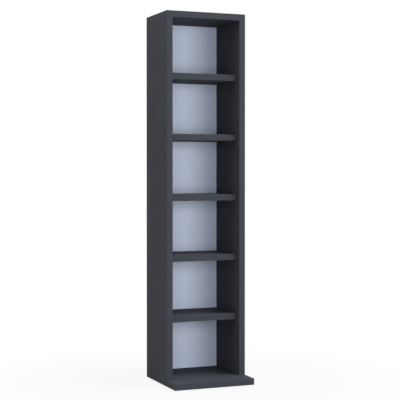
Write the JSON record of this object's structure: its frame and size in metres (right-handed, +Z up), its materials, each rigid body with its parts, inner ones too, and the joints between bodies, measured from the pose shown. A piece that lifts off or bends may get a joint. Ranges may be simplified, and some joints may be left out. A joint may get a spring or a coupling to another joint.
{
  "type": "cd dvd storage tower",
  "caption": "Narrow open-fronted tower of dark grey board for disc cases, with loose shelves on pins, a pale back and a base board that runs out in front.",
  "frame": {"origin": "on the floor under the middle of the bounding box: the glides stand on z = 0", "axes": "+X across the tower to the viewer's right, +Y from the open front to the back, +Z up"},
  "size_m": [0.21, 0.206, 0.9232],
  "materials": {
    "melamine_board": "satin",
    "hardboard": "matte",
    "pin_plastic": "satin",
    "cap_plastic": "satin",
    "zinc_casting": "matte",
    "steel": "satin",
    "beech": "matte",
    "nylon": "satin"
  },
  "bodies": {
    "carcass": {"base_panel": "melamine_board", "top_panel": "melamine_board", "back_panel": "hardboard", "left_side_panel": "melamine_board", "right_side_panel": "melamine_board", "shelf_pin_1_left_front": "pin_plastic", "shelf_pin_1_left_rear": "pin_plastic", "shelf_pin_1_right_front": "pin_plastic", "shelf_pin_1_right_rear": "pin_plastic", "shelf_pin_2_left_front": "pin_plastic", "shelf_pin_2_left_rear": "pin_plastic", "shelf_pin_2_right_front": "pin_plastic", "shelf_pin_2_right_rear": "pin_plastic", "shelf_pin_3_left_front": "pin_plastic", "shelf_pin_3_left_rear": "pin_plastic", "shelf_pin_3_right_front": "pin_plastic", "shelf_pin_3_right_rear": "pin_plastic", "shelf_pin_4_left_front": "pin_plastic", "shelf_pin_4_left_rear": "pin_plastic", "shelf_pin_4_right_front": "pin_plastic", "shelf_pin_4_right_rear": "pin_plastic", "shelf_pin_5_left_front": "pin_plastic", "shelf_pin_5_left_rear": "pin_plastic", "shelf_pin_5_right_front": "pin_plastic", "shelf_pin_5_right_rear": "pin_plastic", "cam_lock_left": "zinc_casting", "cam_bolt_left": "steel", "cam_cap_left": "cap_plastic", "top_dowel_left_front": "beech", "base_screw_left_front": "steel", "glide_left_front": "nylon", "top_dowel_left_rear": "beech", "base_screw_left_rear": "steel", "glide_left_rear": "nylon", "back_nail_left_1": "steel", "back_nail_left_2": "steel", "back_nail_left_3": "steel", "back_nail_left_4": "steel", "back_nail_left_5": "steel", "cam_lock_right": "zinc_casting", "cam_bolt_right": "steel", "cam_cap_right": "cap_plastic", "top_dowel_right_front": "beech", "base_screw_right_front": "steel", "glide_right_front": "nylon", "top_dowel_right_rear": "beech", "base_screw_right_rear": "steel", "glide_right_rear": "nylon", "back_nail_right_1": "steel", "back_nail_right_2": "steel", "back_nail_right_3": "steel", "back_nail_right_4": "steel", "back_nail_right_5": "steel", "back_nail_base": "steel", "back_nail_top": "steel"},
    "shelf_1": {"shelf_1": "melamine_board"},
    "shelf_2": {"shelf_2": "melamine_board"},
    "shelf_3": {"shelf_3": "melamine_board"},
    "shelf_4": {"shelf_4": "melamine_board"},
    "shelf_5": {"shelf_5": "melamine_board"}
  },
  "joints": [
    {"name": "shelf_1_draw", "type": "slide", "parent": "carcass", "child": "shelf_1", "axis": [0, -1, 0], "range_m": [0, 0.15]},
    {"name": "shelf_2_draw", "type": "slide", "parent": "carcass", "child": "shelf_2", "axis": [0, -1, 0], "range_m": [0, 0.15]},
    {"name": "shelf_3_draw", "type": "slide", "parent": "carcass", "child": "shelf_3", "axis": [0, -1, 0], "range_m": [0, 0.15]},
    {"name": "shelf_4_draw", "type": "slide", "parent": "carcass", "child": "shelf_4", "axis": [0, -1, 0], "range_m": [0, 0.15]},
    {"name": "shelf_5_draw", "type": "slide", "parent": "carcass", "child": "shelf_5", "axis": [0, -1, 0], "range_m": [0, 0.15]}
  ]
}
